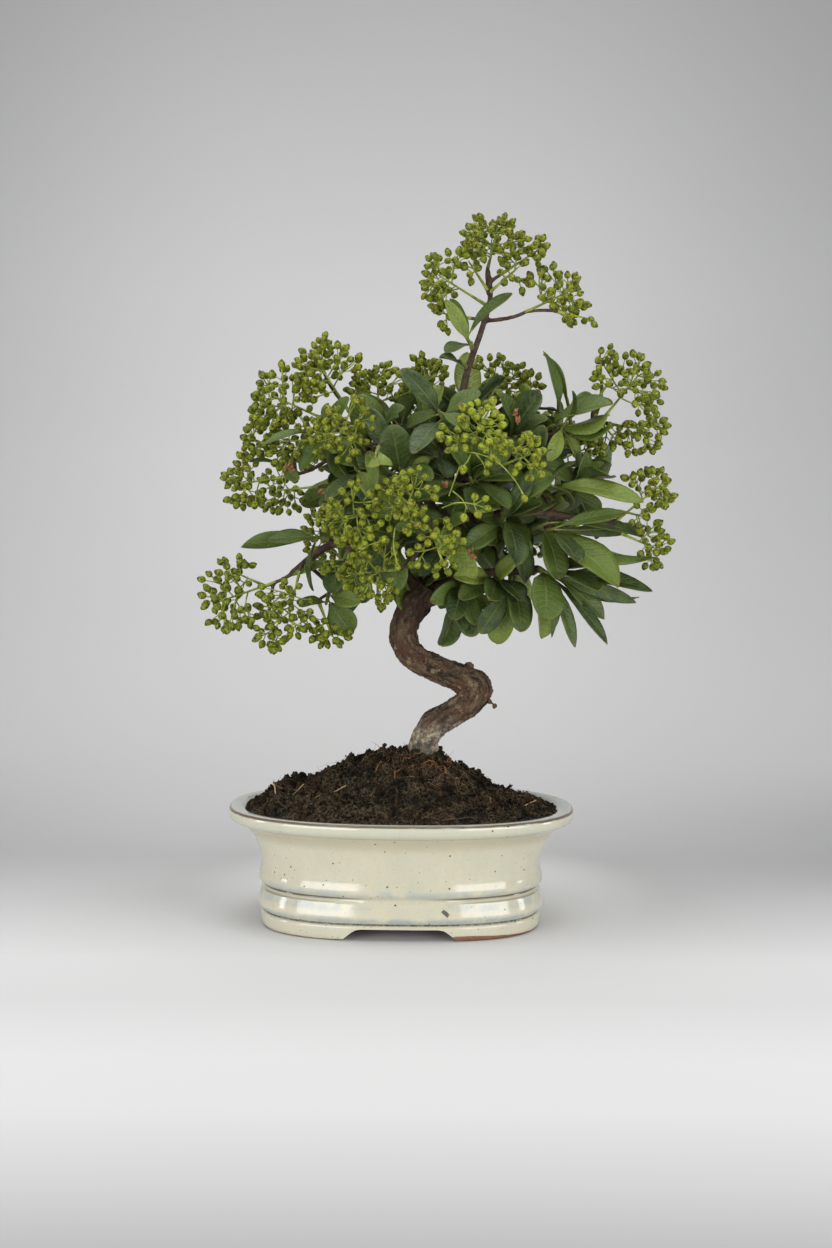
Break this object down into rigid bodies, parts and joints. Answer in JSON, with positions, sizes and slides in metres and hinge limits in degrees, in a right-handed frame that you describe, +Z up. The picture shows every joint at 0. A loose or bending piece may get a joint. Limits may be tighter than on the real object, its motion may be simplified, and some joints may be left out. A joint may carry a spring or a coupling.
{
  "type": "firethorn bonsai",
  "caption": "Small S-bent firethorn tree with glossy leaves and heads of unripe green berries, in a mound of compost in an oval glazed pot with a flared rim.",
  "frame": {"origin": "under the middle of the whole object, on the surface that it stands on", "axes": "+X to the right as seen from the front of the pot, +Y away from the front, +Z up"},
  "size_m": [0.229, 0.165, 0.3456],
  "materials": {
    "glaze": "glossy cream glaze with fine dark specks, grey-blue where it pools, bare clay under the foot",
    "compost": "moist black-brown crumbs with root fibres and a little moss",
    "bark": "fissured grey-brown bark, purplish brown on the young wood",
    "leaf": "glossy dark green above, paler and dull below",
    "berry": "smooth yellow-green skin with a dark calyx"
  },
  "bodies": {
    "root": {"pot": "glaze", "soil": "compost", "trunk_and_branches": "bark", "leaves_top": "leaf", "leaves_tall_leaf": "leaf", "leaves_up_right": "leaf", "leaves_top_middle": "leaf", "leaves_centre_left": "leaf", "leaves_centre_dark": "leaf", "leaves_left_inner": "leaf", "leaves_left_pair": "leaf", "leaves_low_left": "leaf", "leaves_centre_low": "leaf", "leaves_low_near_trunk": "leaf", "leaves_low_middle": "leaf", "leaves_right_fan": "leaf", "leaves_right_low_arch": "leaf", "leaves_right_arch": "leaf", "leaves_centre_right": "leaf", "leaves_centre_middle": "leaf", "leaves_up_left_inner": "leaf", "leaves_back_left": "leaf", "leaves_back_left_low": "leaf", "leaves_back_middle_low": "leaf", "leaves_back_middle_up": "leaf", "leaves_back_right": "leaf", "leaves_back_right_low": "leaf", "leaves_back_deep": "leaf", "leaves_right_side": "leaf", "berries_top_crown": "berry", "berries_top_left": "berry", "berries_top_right": "berry", "berries_up_left_high": "berry", "berries_up_left": "berry", "berries_up_left_mid": "berry", "berries_left": "berry", "berries_left_front": "berry", "berries_left_small": "berry", "berries_low_left_end": "berry", "berries_low_left_mid": "berry", "berries_front_left": "berry", "berries_front": "berry", "berries_front_low_left": "berry", "berries_front_low": "berry", "berries_front_up": "berry", "berries_front_right": "berry", "berries_top_back_right": "berry", "berries_top_back_left": "berry", "berries_up_right_high": "berry", "berries_up_right_low": "berry", "berries_right_behind": "berry", "berries_far_right": "berry", "berries_far_right_low": "berry", "berries_back_left_high": "berry", "berries_back_left_low": "berry", "berries_back_top": "berry", "berries_back_middle": "berry", "berries_back_right_high": "berry", "berries_back_right_low": "berry", "berries_left_behind": "berry"}
  },
  "joints": []
}
